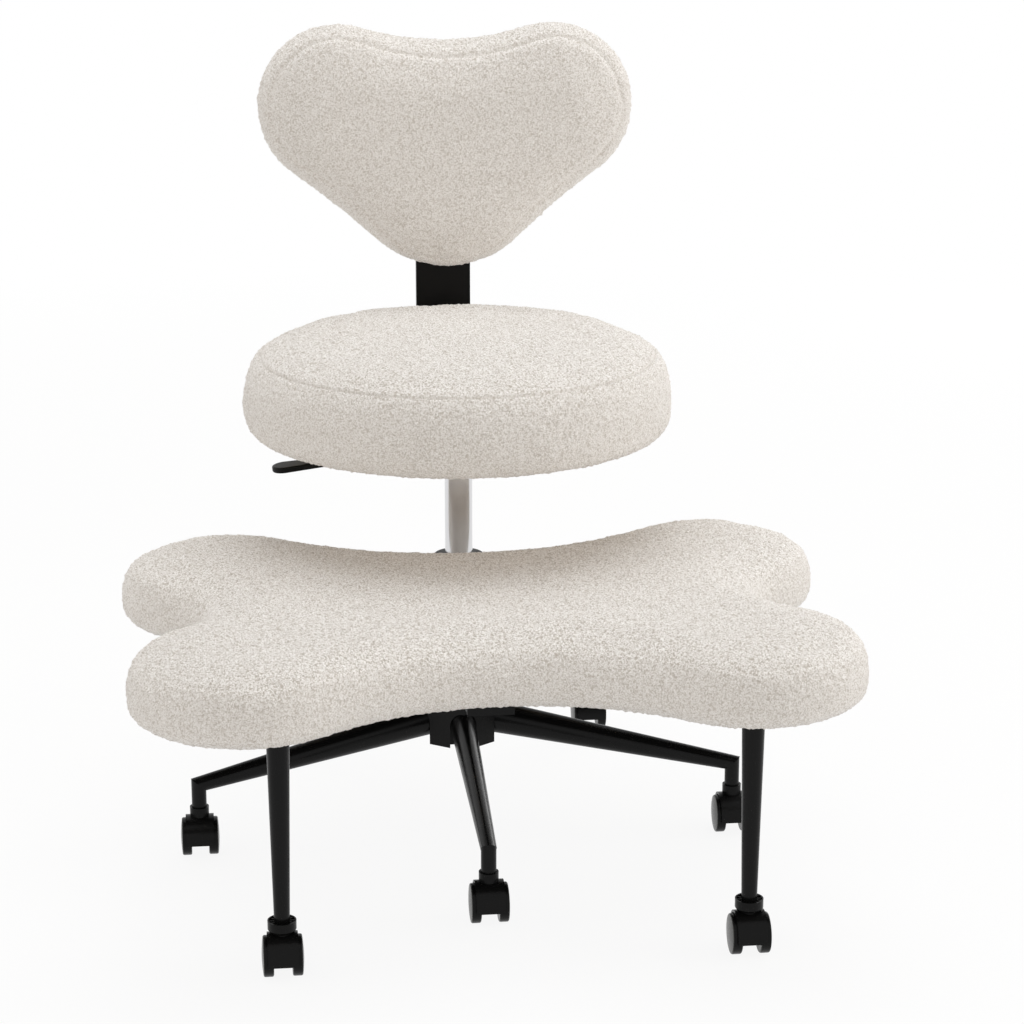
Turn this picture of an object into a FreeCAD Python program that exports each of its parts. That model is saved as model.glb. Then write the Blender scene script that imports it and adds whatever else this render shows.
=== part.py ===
import FreeCAD, Part
import math
import os

# Swivel chair with a round seat, a heart-shaped back and a four-lobed footrest for crossed legs.
# All lengths are millimetres. The chair faces -Y, +Z is up, and the origin lies on the floor
# under the axis of the gas column.

V = FreeCAD.Vector
AXIS_X = V(1, 0, 0)
AXIS_Y = V(0, 1, 0)
AXIS_Z = V(0, 0, 1)

# Fits and gaps
running_clearance = 0.05
seat_gap = 0.3
hole_gap = 0.3
swivel_gap = 0.4

# Twin-wheel casters
wheel_diameter = 38.0
wheel_width = 9.5
wheel_spacing = 17.0
tread_rounding = 1.6
tread_corner_steps = 3
wheel_dome_rise = 1.2
wheel_dome_steps = 5
axle_diameter = 6.0
axle_boss_wall = 3.0
axle_cover = 3.8
hood_width = 28.0
hood_wall = 2.2
hood_clearance = 0.8
hood_side_gap = 0.5
hood_mouth_height = 16.0
caster_trail = 3.0
caster_height = 50.0
swivel_collar_diameter = 19.0
pin_diameter = 8.0
pin_depth = 16.0
pin_height = 18.0
pin_head_diameter = 11.0
pin_head_height = 2.7

# Five-arm base
arm_count = 5
first_arm = 270.0
base_radius = 285.0
elbow_height = 72.5
arm_root_height = 104.5
arm_root_radius = 40.0
arm_root_width = 26.0
arm_root_depth = 34.0
arm_wall = 1.8
arm_end_length = 20.0
arm_tip_lip = 0.8
arm_strips = 12
stem_tube_diameter = 14.8
stem_socket_diameter = 11.0
stem_socket_depth = 18.5
stem_socket_flange = 1.5

# Hub
hub_flat_distance = 40.0
hub_bottom = 82.0
hub_height = 46.0
hub_wall = 3.5
hub_top_plate = 4.0
hub_sleeve_wall = 4.0
arm_slot_gap = 0.6

# Gas column
column_diameter = 50.0
column_wall = 2.6
column_foot_rise = 2.0
column_top = 275.0
column_plate_rise = 4.0
column_plate = 4.0
taper_angle = 1.43
bush_length = 70.0
bush_flange = 3.0
bearing_diameter = 24.0
bearing_height = 6.0
bearing_waist = 1.5
rod_diameter = 10.0
rod_shoulder_diameter = 18.0
rod_shoulder_height = 4.0
clip_diameter = 18.0
clip_thickness = 1.7
clip_groove_depth = 1.0
clip_rod_end = 1.0
piston_diameter = 21.9
piston_height = 14.0
piston_centre_height = 229.0
cylinder_diameter = 28.0
cylinder_bottom = 155.0
cylinder_end_wall = 14.0
cylinder_valve_length = 36.0
button_diameter = 8.0
button_length = 38.0
button_rise = 5.2

# Seat
seat_underside = 409.0
seat_radius = 217.0
seat_edge_round = 22.0
seat_seam_inset = 11.0
seat_seam_height = 80.0
seat_crown = 20.0
seat_dome_share = 0.8
seat_wall_bulge = 2.0
seat_board_margin = 6.0
seat_board_thickness = 12.0

# Seat mechanism
plate_length = 190.0
plate_width = 160.0
plate_thickness = 3.0
plate_corner_radius = 15.0
plate_bolt_inset = 15.0
box_length = 76.0
box_width = 56.0
box_depth = 28.0
box_wall = 2.5
cone_length = 27.0
cone_wall = 5.0

# Height lever
lever_width = 14.0
lever_thickness = 4.0
lever_pivot_distance = 26.0
lever_pin_diameter = 6.0
lever_tongue_overhang = 8.0
lever_reach = 188.0
lever_drop = 28.0
lever_knee_distance = 37.0
lever_knee_drop = 13.0
paddle_length = 76.0
paddle_width = 26.0
paddle_thickness = 6.0
lever_top_gap = 2.5

# Back bar and backrest
bar_width = 58.0
bar_thickness = 8.0
bar_bend_radius = 22.0
bar_seat_gap = 9.0
bar_shift = 6.0
bar_start_gap = 4.0
bar_rise = 326.0
bar_corner_radius = 10.0
heart_lobe_offset = 112.0
heart_lobe_rise = 302.0
heart_lobe_radius = 85.0
heart_dip_radius = 277.0
heart_foot_rise = 240.0
heart_foot_radius = 109.0
heart_side_radius = 700.0
back_depth = 64.0
back_seam_depth = 50.0
back_seam_inset = 11.0
back_edge_inset = 14.0
back_edge_depth = 24.0
back_crown_inset = 60.0
back_board_inset = 28.0
back_board_thickness = 10.0

# Footrest
rest_underside = 243.0
rest_thickness = 65.5
rest_shift = 4.0
rest_rear_lobe_offset = 243.0
rest_rear_lobe_distance = 75.0
rest_rear_lobe_radius = 103.0
rest_front_lobe_offset = 227.0
rest_front_lobe_distance = 359.0
rest_front_lobe_radius = 111.0
rest_notch_radius = 68.0
rest_front_waist_radius = 240.0
rest_rear_waist_radius = 275.0
rest_edge_round = 20.0
rest_seam_height = 56.0
rest_seam_inset = 8.5
rest_crown_inset = 62.0
rest_board_inset = 26.0
rest_board_thickness = 12.0

# Footrest bracket
washer_thickness = 3.0
collar_bush_wall = 2.5
collar_bush_length = 20.0
collar_bush_flange = 2.0
collar_wall = 4.0
bracket_arm_width = 44.0
bracket_arm_height = 24.0
bracket_arm_wall = 2.5
bracket_bar_thickness = 4.0
bracket_bar_width = 40.0
bracket_rear_bar_length = 240.0
bracket_rear_bar_distance = 112.0
bracket_front_bar_length = 320.0
bracket_front_bar_distance = 290.0
bracket_bar_round = 8.0
bracket_bolt_inset = 20.0

# Footrest legs
leg_offset = 215.0
leg_shift = 16.5
leg_distance = 381.0
leg_foot_diameter = 14.6
leg_top_diameter = 21.6
leg_wall = 1.6
leg_flange_diameter = 60.0
leg_flange_thickness = 4.0
leg_screw_circle = 44.0
leg_screw_count = 3
cup_diameter = 26.4
cup_height = 8.5
cup_floor = 4.0
cup_wall = 1.4
cup_spigot_length = 20.0
cup_rib_count = 12
cup_rib_thickness = 1.0
cup_rib_height = 2.5

# Bolts
bolt_diameter = 6.0
bolt_head_diameter = 13.0
bolt_head_height = 5.0
bolt_end_cover = 2.0
screw_diameter = 4.0
screw_head_diameter = 8.0
screw_head_height = 2.5
bar_bolt_spread = 28.0
bar_bolt_first = 21.0
bar_bolt_pitch = 60.0
back_bolt_rise = 241.0
back_bolt_pitch = 50.0

# Sizes worked out from the values above
wheel_radius = wheel_diameter / 2
axle_y = -caster_trail
tan_taper = math.tan(math.radians(taper_angle))
column_radius = column_diameter / 2
column_bore_radius = column_radius - column_wall
column_bottom = hub_bottom + column_foot_rise
hub_top = hub_bottom + hub_height
column_foot_radius = column_radius - (hub_top - column_bottom) * tan_taper
sleeve_flat = column_radius + hub_sleeve_wall
column_plate_bottom = column_bottom + column_plate_rise
column_plate_top = column_plate_bottom + column_plate
rod_radius = rod_diameter / 2
cylinder_radius = cylinder_diameter / 2
piston_radius = piston_diameter / 2
cylinder_bore_radius = piston_radius + running_clearance
plate_bottom = seat_underside - plate_thickness
tongue_bottom = plate_bottom - lever_top_gap - lever_thickness
button_top = tongue_bottom - seat_gap
cylinder_top = button_top - button_rise
cone_top = cylinder_top - seat_gap
cone_bottom = cone_top - cone_length
box_bottom = plate_bottom - box_depth
seat_board_radius = seat_radius - seat_edge_round - seat_board_margin
bar_front = seat_radius + bar_seat_gap
bar_top = seat_underside + bar_rise
heart_lobe_height = seat_underside + heart_lobe_rise
heart_foot_height = seat_underside + heart_foot_rise
back_bolt_height = seat_underside + back_bolt_rise
collar_bottom = hub_top + washer_thickness
collar_bore_radius = column_radius + running_clearance + collar_bush_wall
collar_radius = collar_bore_radius + collar_wall
bracket_arm_top = rest_underside - bracket_bar_thickness
collar_top = bracket_arm_top - seat_gap
leg_foot = caster_height + cup_floor


def line(start, end):
    return Part.LineSegment(start, end).toShape()


def arc_through(start, middle, end):
    return Part.Arc(start, middle, end).toShape()


def turned(points):
    """Solid of revolution about Z from (radius, height) corners."""
    corners = [V(radius, 0, height) for radius, height in points]
    corners.append(corners[0])
    return Part.Face(Part.makePolygon(corners)).revolve(V(0, 0, 0), AXIS_Z, 360)


def upright(radius, bottom, top, x=0.0, y=0.0):
    return Part.makeCylinder(radius, top - bottom, V(x, y, bottom), AXIS_Z)


def crosswise(radius, start_x, end_x, y, z):
    return Part.makeCylinder(radius, end_x - start_x, V(start_x, y, z), AXIS_X)


def block(low, high):
    size = high - low
    return Part.makeBox(size.x, size.y, size.z, low)


def rounded_plate(length, width, bottom, top, radius, x=0.0, y=0.0):
    plate = block(V(x - length / 2, y - width / 2, bottom), V(x + length / 2, y + width / 2, top))
    upright_edges = [edge for edge in plate.Edges if abs(edge.tangentAt(edge.FirstParameter).z) > 0.9]
    return plate.makeFillet(radius, upright_edges)


def placed(shape, x, y):
    moved = shape.copy()
    moved.translate(V(x, y, 0))
    return moved


def spun(shape, angle):
    turned_shape = shape.copy()
    turned_shape.rotate(V(0, 0, 0), AXIS_Z, angle)
    return turned_shape


# Casters: a hood that swivels on its pin, an axle, and two wheels that turn on the axle
def caster_hood():
    pocket_radius = wheel_radius + hood_clearance
    hood_radius = pocket_radius + hood_wall
    web_half = wheel_spacing / 2 - hood_side_gap
    hood = crosswise(hood_radius, -hood_width / 2, hood_width / 2, axle_y, wheel_radius)
    collar = upright(swivel_collar_diameter / 2, wheel_radius, caster_height - swivel_gap)
    hood = hood.fuse(collar)
    reach = hood_width + wheel_width
    for start, end in ((web_half, reach), (-reach, -web_half)):
        hood = hood.cut(crosswise(pocket_radius, start, end, axle_y, wheel_radius))
    below = block(V(-reach, -reach * 2, -reach), V(reach, reach * 2, hood_mouth_height))
    hood = hood.cut(below)
    boss = crosswise(axle_diameter / 2 + axle_boss_wall, -web_half, web_half, axle_y, wheel_radius)
    hood = hood.fuse(boss)
    hood = hood.cut(crosswise(axle_diameter / 2, -reach, reach, axle_y, wheel_radius))
    pin_foot = caster_height - pin_depth
    head_top = pin_foot + pin_head_height
    head_room = upright(pin_head_diameter / 2 + running_clearance, pin_foot - seat_gap, head_top + seat_gap)
    shank_room = upright(pin_diameter / 2 + running_clearance, pin_foot, caster_height)
    return hood.cut(head_room).cut(shank_room).removeSplitter()


def caster_axle():
    half = wheel_spacing / 2 + wheel_width - axle_cover
    return crosswise(axle_diameter / 2, -half, half, axle_y, wheel_radius)


def tread_corner(centre_x, start_angle):
    """Points round one corner of the tread, over a quarter turn from the start angle downwards."""
    points = []
    for step in range(tread_corner_steps + 1):
        angle = math.radians(start_angle - 90 * step / tread_corner_steps)
        points.append((centre_x + tread_rounding * math.cos(angle),
                       wheel_radius - tread_rounding + tread_rounding * math.sin(angle)))
    return points


def wheel_dome(rim_x):
    """Points over the domed outer face of a wheel, from its rim to its axis."""
    rim = wheel_radius - tread_rounding
    curve = (rim ** 2 + wheel_dome_rise ** 2) / (2 * wheel_dome_rise)
    points = []
    for step in range(1, wheel_dome_steps + 1):
        radius = rim * (1 - step / wheel_dome_steps)
        points.append((rim_x + wheel_dome_rise - curve + math.sqrt(curve ** 2 - radius ** 2), radius))
    return points


def caster_wheel(side):
    inner = wheel_spacing / 2
    outer = inner + wheel_width
    bore_end = outer - axle_cover + seat_gap
    bore = axle_diameter / 2 + running_clearance
    points = [(inner, bore)]
    points += tread_corner(inner + tread_rounding, 180)
    points += tread_corner(outer - tread_rounding, 90)
    points += wheel_dome(outer)
    points += [(bore_end, 0), (bore_end, bore), (inner, bore)]
    profile = Part.makePolygon([V(x, 0, radius) for x, radius in points])
    wheel = Part.Face(profile).revolve(V(0, 0, 0), AXIS_X, 360)
    if side < 0:
        wheel.rotate(V(0, 0, 0), AXIS_Z, 180)
    wheel.translate(V(0, axle_y, wheel_radius))
    return wheel


def caster_pin():
    foot = caster_height - pin_depth
    shank = upright(pin_diameter / 2, foot, caster_height + pin_height)
    head = upright(pin_head_diameter / 2, foot, foot + pin_head_height)
    return shank.fuse(head).removeSplitter()


# Five-arm base: tapered oval tubes, each mitred to an upright stem tube
def arm_slope():
    return math.atan2(arm_root_height - elbow_height, base_radius - arm_root_radius)


def oval(centre, half_depth, half_width):
    """Elliptical outline in equal strips, from its centre and its two half axes as vectors."""
    ellipse = Part.Ellipse(centre + half_depth, centre + half_width, centre)
    step = 2 * math.pi / arm_strips
    strips = [Part.ArcOfEllipse(ellipse, index * step, (index + 1) * step) for index in range(arm_strips)]
    return Part.Wire([strip.toShape() for strip in strips])


def arm_section(x, inset):
    """Upright section of the arm tube at a distance x from the column axis."""
    share = (x - arm_root_radius) / (base_radius - arm_root_radius)
    height = arm_root_height + share * (elbow_height - arm_root_height)
    tip_width = stem_tube_diameter + arm_tip_lip
    tip_depth = tip_width / math.cos(arm_slope())
    half_width = (arm_root_width + share * (tip_width - arm_root_width)) / 2 - inset
    half_depth = (arm_root_depth + share * (tip_depth - arm_root_depth)) / 2 - inset
    return oval(V(x, 0, height), V(0, 0, half_depth), V(0, half_width, 0))


def mitre_angle():
    """Angle of the mitre plane above the horizontal, halfway between arm and stem."""
    return (math.pi / 2 - arm_slope()) / 2


def mitre_section():
    """Section of the arm tube in the mitre plane."""
    radius = (stem_tube_diameter + arm_tip_lip) / 2
    length = radius / math.sin(mitre_angle() + arm_slope())
    along = V(math.cos(mitre_angle()), 0, math.sin(mitre_angle()))
    return oval(V(base_radius, 0, elbow_height), along * length, V(0, radius, 0))


def above_mitre():
    """Block that lies above the mitre plane, on the inner side of the stem."""
    size = 4 * arm_root_depth
    corner_block = block(V(-size, -size / 2, -size / 2), V(0, size / 2, size / 2))
    corner_block.rotate(V(0, 0, 0), AXIS_Y, 90 - math.degrees(mitre_angle()))
    corner_block.translate(V(base_radius, 0, elbow_height))
    return corner_block


def base_arm():
    tube = Part.makeLoft([arm_section(sleeve_flat, 0), mitre_section()], True, True)
    hollow_root = arm_section(sleeve_flat, arm_wall)
    hollow_end = arm_section(base_radius - arm_end_length, arm_wall)
    hollow = Part.makeLoft([hollow_root, hollow_end], True, True)
    stem_bottom = caster_height + stem_socket_flange
    stem_top = elbow_height + 2 * stem_tube_diameter
    stem = upright(stem_tube_diameter / 2, stem_bottom, stem_top, base_radius).cut(above_mitre())
    socket_top = caster_height + stem_socket_depth
    stem = stem.cut(upright(stem_socket_diameter / 2, caster_height, socket_top, base_radius))
    return tube.cut(hollow).fuse(stem)


def stem_socket():
    outer = stem_socket_diameter / 2
    flange = stem_tube_diameter / 2
    bottom = caster_height
    return turned([
        (pin_diameter / 2, bottom),
        (flange, bottom),
        (flange, bottom + stem_socket_flange),
        (outer, bottom + stem_socket_flange),
        (outer, bottom + stem_socket_depth),
        (pin_diameter / 2, bottom + stem_socket_depth),
    ])


def hub_prism(flat_distance, bottom, top, first_corner):
    """Regular prism with a side for each arm; first_corner is the bearing of one corner in degrees."""
    corner_radius = flat_distance / math.cos(math.pi / arm_count)
    corners = []
    for index in range(arm_count + 1):
        angle = math.radians(first_corner + index * 360 / arm_count)
        corners.append(V(corner_radius * math.cos(angle), corner_radius * math.sin(angle), bottom))
    return Part.Face(Part.makePolygon(corners)).extrude(V(0, 0, top - bottom))


def base_hub():
    skirt = hub_prism(hub_flat_distance, hub_bottom, hub_top, first_arm)
    skirt = skirt.cut(hub_prism(hub_flat_distance - hub_wall, hub_bottom, hub_top - hub_top_plate, first_arm))
    reach = hub_flat_distance * 2
    half = arm_root_width / 2 + arm_slot_gap
    slot_ends = [arm_section(sleeve_flat, -arm_slot_gap), arm_section(reach, -arm_slot_gap)]
    slot = Part.makeLoft(slot_ends, True, True)
    slot = slot.fuse(block(V(sleeve_flat, -half, 0), V(reach, half, arm_root_height)))
    for index in range(arm_count):
        skirt = skirt.cut(spun(slot, first_arm + index * 360 / arm_count))
    sleeve = hub_prism(sleeve_flat, hub_bottom, hub_top, first_arm + 180 / arm_count)
    hub = skirt.fuse(sleeve).removeSplitter()
    cone_foot = hub_bottom - column_foot_rise
    foot_radius = column_radius - (hub_top - cone_foot) * tan_taper
    return hub.cut(Part.makeCone(foot_radius, column_radius, hub_top - cone_foot, V(0, 0, cone_foot)))


# Gas column: outer tube, guide bush, bearing, piston rod with clip, cylinder and release button
def column_tube():
    rod_hole = rod_radius + running_clearance
    return turned([
        (rod_hole, column_plate_bottom),
        (column_bore_radius, column_plate_bottom),
        (column_bore_radius, column_bottom),
        (column_foot_radius, column_bottom),
        (column_radius, hub_top),
        (column_radius, column_top),
        (column_bore_radius, column_top),
        (column_bore_radius, column_plate_top),
        (rod_hole, column_plate_top),
    ])


def column_bush():
    bore = cylinder_radius + running_clearance
    return turned([
        (bore, column_top - bush_length),
        (column_bore_radius, column_top - bush_length),
        (column_bore_radius, column_top),
        (column_radius, column_top),
        (column_radius, column_top + bush_flange),
        (bore, column_top + bush_flange),
    ])


def thrust_bearing():
    bore = rod_radius + seat_gap
    outer = bearing_diameter / 2
    waist = outer - bearing_waist
    bottom = column_plate_top
    race = bearing_height / 3
    return turned([
        (bore, bottom),
        (outer, bottom),
        (outer, bottom + race),
        (waist, bottom + race),
        (waist, bottom + 2 * race),
        (outer, bottom + 2 * race),
        (outer, bottom + bearing_height),
        (bore, bottom + bearing_height),
    ])


def clip_heights():
    top = column_plate_bottom - seat_gap
    return top - clip_thickness, top


def piston_rod():
    clip_bottom, clip_top = clip_heights()
    groove = rod_radius - clip_groove_depth
    shoulder = column_plate_top + bearing_height
    head = piston_centre_height - piston_height / 2
    return turned([
        (0, clip_bottom - clip_rod_end),
        (rod_radius, clip_bottom - clip_rod_end),
        (rod_radius, clip_bottom),
        (groove, clip_bottom),
        (groove, clip_top),
        (rod_radius, clip_top),
        (rod_radius, shoulder),
        (rod_shoulder_diameter / 2, shoulder),
        (rod_shoulder_diameter / 2, shoulder + rod_shoulder_height),
        (rod_radius, shoulder + rod_shoulder_height),
        (rod_radius, head),
        (piston_radius, head),
        (piston_radius, head + piston_height),
        (0, head + piston_height),
    ])


def column_clip():
    clip_bottom, clip_top = clip_heights()
    groove = rod_radius - clip_groove_depth
    ring = upright(clip_diameter / 2, clip_bottom, clip_top)
    return ring.cut(upright(groove, clip_bottom, clip_top))


def taper_radius(height):
    return cylinder_radius - (height - cone_bottom) * tan_taper


def gas_cylinder():
    rod_hole = rod_radius + running_clearance
    button_hole = button_diameter / 2 + running_clearance
    chamber_bottom = cylinder_bottom + cylinder_end_wall
    chamber_top = cylinder_top - cylinder_valve_length
    return turned([
        (rod_hole, cylinder_bottom),
        (cylinder_radius, cylinder_bottom),
        (cylinder_radius, cone_bottom),
        (taper_radius(cylinder_top), cylinder_top),
        (button_hole, cylinder_top),
        (button_hole, chamber_top),
        (cylinder_bore_radius, chamber_top),
        (cylinder_bore_radius, chamber_bottom),
        (rod_hole, chamber_bottom),
    ])


def release_button():
    return upright(button_diameter / 2, button_top - button_length, button_top)


# Seat mechanism: pressed plate with a box under it that holds the taper socket and the lever pin
def plate_bolt_places():
    across = plate_length / 2 - plate_bolt_inset
    along = plate_width / 2 - plate_bolt_inset
    return [(x, y) for x in (-across, across) for y in (-along, along)]


def lever_pin_height():
    return tongue_bottom + lever_thickness / 2


def seat_mechanism():
    plate = rounded_plate(plate_length, plate_width, plate_bottom, seat_underside, plate_corner_radius)
    for x, y in plate_bolt_places():
        plate = plate.cut(upright(bolt_diameter / 2 + hole_gap, plate_bottom, seat_underside, x, y))
    box = rounded_plate(box_length, box_width, box_bottom, plate_bottom, box_wall * 2)
    inside = rounded_plate(box_length - 2 * box_wall, box_width - 2 * box_wall,
                           box_bottom + box_wall, plate_bottom, box_wall)
    box = box.cut(inside)
    window = block(V(-box_length, -lever_width / 2 - seat_gap, box_bottom + box_wall),
                   V(-box_length / 2 + 2 * box_wall, lever_width / 2 + seat_gap, plate_bottom))
    box = box.cut(window)
    pin_room = Part.makeCylinder(lever_pin_diameter / 2 + running_clearance, box_width,
                                 V(-lever_pivot_distance, -box_width / 2, lever_pin_height()), AXIS_Y)
    box = box.cut(pin_room)
    socket = upright(cylinder_radius + cone_wall, cone_bottom, cone_top)
    mechanism = plate.fuse(box).fuse(socket).removeSplitter()
    room = Part.makeCone(cylinder_radius, taper_radius(cone_top), cone_length, V(0, 0, cone_bottom))
    return mechanism.cut(room)


def height_lever():
    half = lever_width / 2
    knee = V(-lever_knee_distance, 0, tongue_bottom)
    hook = V(-lever_knee_distance - lever_knee_drop, 0, tongue_bottom - lever_knee_drop)
    root = -lever_reach + paddle_length
    tip_bottom = tongue_bottom - lever_drop
    slope = math.atan2(hook.z - tip_bottom, hook.x + lever_reach)
    root_bottom = hook.z + (root - hook.x) * math.tan(slope)
    rise = V(0, 0, lever_thickness)
    nose = V(lever_tongue_overhang, 0, tongue_bottom)
    shank = V(root - half, 0, root_bottom - half * math.tan(slope))
    lower = [nose, knee, hook, shank]
    upper = [point + rise for point in reversed(lower)]
    profile = Part.makePolygon(lower + upper + [nose])
    bar = Part.Face(profile).extrude(V(0, lever_width, 0))
    bar.translate(V(0, -half, 0))

    # paddle: widens from the bar to a round end
    wide = paddle_width / 2
    end = V(-paddle_length + wide, 0, 0)
    outline = Part.Wire([
        line(V(0, half, 0), end + V(0, wide, 0)),
        arc_through(end + V(0, wide, 0), end + V(-wide, 0, 0), end + V(0, -wide, 0)),
        line(end + V(0, -wide, 0), V(0, -half, 0)),
        line(V(0, -half, 0), V(0, half, 0)),
    ])
    paddle = Part.Face(outline).extrude(V(0, 0, paddle_thickness))
    rim = [edge for edge in paddle.Edges if abs(edge.BoundBox.ZLength) < running_clearance]
    rim = [edge for edge in rim if edge.BoundBox.XMin < -half]
    paddle = paddle.makeFillet(paddle_thickness / 4, rim)
    paddle.rotate(V(0, 0, 0), AXIS_Y, -math.degrees(slope))
    paddle.translate(V(root, 0, root_bottom - (paddle_thickness - lever_thickness) / 2))
    pin = Part.makeCylinder(lever_pin_diameter / 2, box_width,
                            V(-lever_pivot_distance, -box_width / 2, lever_pin_height()), AXIS_Y)
    return bar.fuse(paddle).fuse(pin).removeSplitter()


# Round seat: plywood board set into the underside of a boxed cushion with a crowned top
def bar_bolt_places():
    start = plate_width / 2 + bar_start_gap + bar_bolt_first
    half = bar_bolt_spread / 2
    return [(bar_shift + x, y) for x in (-half, half) for y in (start, start + bar_bolt_pitch)]


def seat_board():
    board = upright(seat_board_radius, seat_underside, seat_underside + seat_board_thickness)
    depth = seat_board_thickness - bolt_end_cover
    for x, y in plate_bolt_places() + bar_bolt_places():
        board = board.cut(upright(bolt_diameter / 2, seat_underside, seat_underside + depth, x, y))
    return board


def seat_cushion():
    seam_radius = seat_radius - seat_seam_inset
    pocket = seat_board_radius + seat_gap
    foot = seat_radius - seat_wall_bulge - seat_edge_round
    corner = seat_edge_round * (1 - math.sqrt(0.5))

    def at(radius, height):
        return V(radius, 0, seat_underside + height)

    def crown(share):
        return at(seam_radius * share, seat_seam_height + seat_crown * math.sqrt(1 - share * share))

    dome_radius = seam_radius * seat_dome_share
    dome_rise = crown(0).z - crown(seat_dome_share).z
    sphere_radius = (dome_radius ** 2 + dome_rise ** 2) / (2 * dome_rise)
    dome_drop = sphere_radius - math.sqrt(sphere_radius ** 2 - dome_radius ** 2 / 4)
    dome_middle = crown(0) + V(dome_radius / 2, 0, -dome_drop)
    wall_foot = at(foot + seat_edge_round, seat_edge_round)
    wall_middle = at(seat_radius, (seat_edge_round + seat_seam_height) / 2)
    edges = [
        line(at(0, seat_board_thickness), at(pocket, seat_board_thickness)),
        line(at(pocket, seat_board_thickness), at(pocket, 0)),
        line(at(pocket, 0), at(foot, 0)),
        arc_through(at(foot, 0), at(foot + seat_edge_round - corner, corner), wall_foot),
        arc_through(wall_foot, wall_middle, crown(1)),
        arc_through(crown(1), crown((1 + 2 * seat_dome_share) / 3), crown(seat_dome_share)),
        arc_through(crown(seat_dome_share), dome_middle, crown(0)),
        line(crown(0), at(0, seat_board_thickness)),
    ]
    return Part.Face(Part.Wire(edges)).revolve(V(0, 0, 0), AXIS_Z, 360)


# Backrest: bent flat bar, heart-shaped board and cushion
def back_bolt_places():
    half = bar_bolt_spread / 2
    heights = (back_bolt_height, back_bolt_height + back_bolt_pitch)
    return [(bar_shift + x, z) for x in (-half, half) for z in heights]


def rearward(radius, start_y, end_y, x, z):
    return Part.makeCylinder(radius, end_y - start_y, V(x, start_y, z), AXIS_Y)


def back_bar():
    top = seat_underside
    bottom = top - bar_thickness
    rear = bar_front + bar_thickness
    start = plate_width / 2 + bar_start_gap
    bend_y = bar_front - bar_bend_radius
    bend_z = top + bar_bend_radius
    outer_radius = bar_bend_radius + bar_thickness
    half_turn = math.sqrt(0.5)

    def at(y, z):
        return V(bar_shift - bar_width / 2, y, z)

    def on_bend(radius):
        return at(bend_y + radius * half_turn, bend_z - radius * half_turn)

    edges = [
        line(at(start, top), at(bend_y, top)),
        arc_through(at(bend_y, top), on_bend(bar_bend_radius), at(bar_front, bend_z)),
        line(at(bar_front, bend_z), at(bar_front, bar_top)),
        line(at(bar_front, bar_top), at(rear, bar_top)),
        line(at(rear, bar_top), at(rear, bend_z)),
        arc_through(at(rear, bend_z), on_bend(outer_radius), at(bend_y, bottom)),
        line(at(bend_y, bottom), at(start, bottom)),
        line(at(start, bottom), at(start, top)),
    ]
    bar = Part.Face(Part.Wire(edges)).extrude(V(bar_width, 0, 0))
    corners = []
    for edge in bar.Edges:
        middle = edge.CenterOfMass
        at_end = abs(middle.z - bar_top) < seat_gap or abs(middle.y - start) < seat_gap
        if at_end and abs(edge.Length - bar_thickness) < seat_gap:
            corners.append(edge)
    bar = bar.makeFillet(bar_corner_radius, corners)
    for x, y in bar_bolt_places():
        bar = bar.cut(upright(bolt_diameter / 2 + hole_gap, bottom, top, x, y))
    for x, z in back_bolt_places():
        bar = bar.cut(rearward(bolt_diameter / 2 + hole_gap, bar_front, rear, x, z))
    return bar


def arc_pieces(centre, radius, start, end, count, to_space):
    """Arcs from angle start to angle end about a centre in the outline's own plane."""
    def at(angle):
        return to_space(centre[0] + radius * math.cos(angle), centre[1] + radius * math.sin(angle))

    step = (end - start) / count
    pieces = []
    for index in range(count):
        first = start + index * step
        pieces.append(arc_through(at(first), at(first + step / 2), at(first + step)))
    return pieces


def bearing_of(centre, point):
    return math.atan2(point[1] - centre[1], point[0] - centre[0])


def touching_centre(first, first_radius, second, second_radius, radius):
    """Centre of an outside circle that touches two circles, on the right of first to second."""
    dx = second[0] - first[0]
    dy = second[1] - first[1]
    distance = math.hypot(dx, dy)
    reach = first_radius + radius
    along = (reach ** 2 - (second_radius + radius) ** 2 + distance ** 2) / (2 * distance)
    across = math.sqrt(reach ** 2 - along ** 2)
    return (first[0] + (along * dx + across * dy) / distance,
            first[1] + (along * dy - across * dx) / distance)


def heart_wire(offset, y):
    """Heart outline at a distance y behind the column, moved outwards by offset."""
    def to_space(x, z):
        return V(bar_shift + x, y, z)

    lobe = (heart_lobe_offset, heart_lobe_height)
    foot = (0.0, heart_foot_height)
    rise = math.sqrt((heart_lobe_radius + heart_dip_radius) ** 2 - heart_lobe_offset ** 2)
    dip = (0.0, heart_lobe_height + rise)
    side = touching_centre(foot, heart_foot_radius, lobe, heart_lobe_radius, heart_side_radius)
    foot_end = bearing_of(foot, side)
    lobe_start = bearing_of(lobe, side)
    lobe_end = bearing_of(lobe, dip)
    side_start = bearing_of(side, foot)
    side_end = bearing_of(side, lobe)
    dip_end = bearing_of(dip, lobe)
    foot_radius = heart_foot_radius + offset
    lobe_radius = heart_lobe_radius + offset
    side_radius = heart_side_radius - offset
    left_lobe = (-lobe[0], lobe[1])
    left_side = (-side[0], side[1])
    turn = math.pi
    edges = arc_pieces(foot, foot_radius, -turn - foot_end, foot_end, 2, to_space)
    edges += arc_pieces(side, side_radius, side_start % (2 * turn), side_end % (2 * turn), 1, to_space)
    edges += arc_pieces(lobe, lobe_radius, lobe_start, lobe_end, 2, to_space)
    edges += arc_pieces(dip, heart_dip_radius - offset, dip_end, -turn - dip_end, 1, to_space)
    edges += arc_pieces(left_lobe, lobe_radius, turn - lobe_end, turn - lobe_start, 2, to_space)
    edges += arc_pieces(left_side, side_radius, turn - side_end % (2 * turn),
                        turn - side_start % (2 * turn), 1, to_space)
    return Part.Wire(edges)


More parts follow.
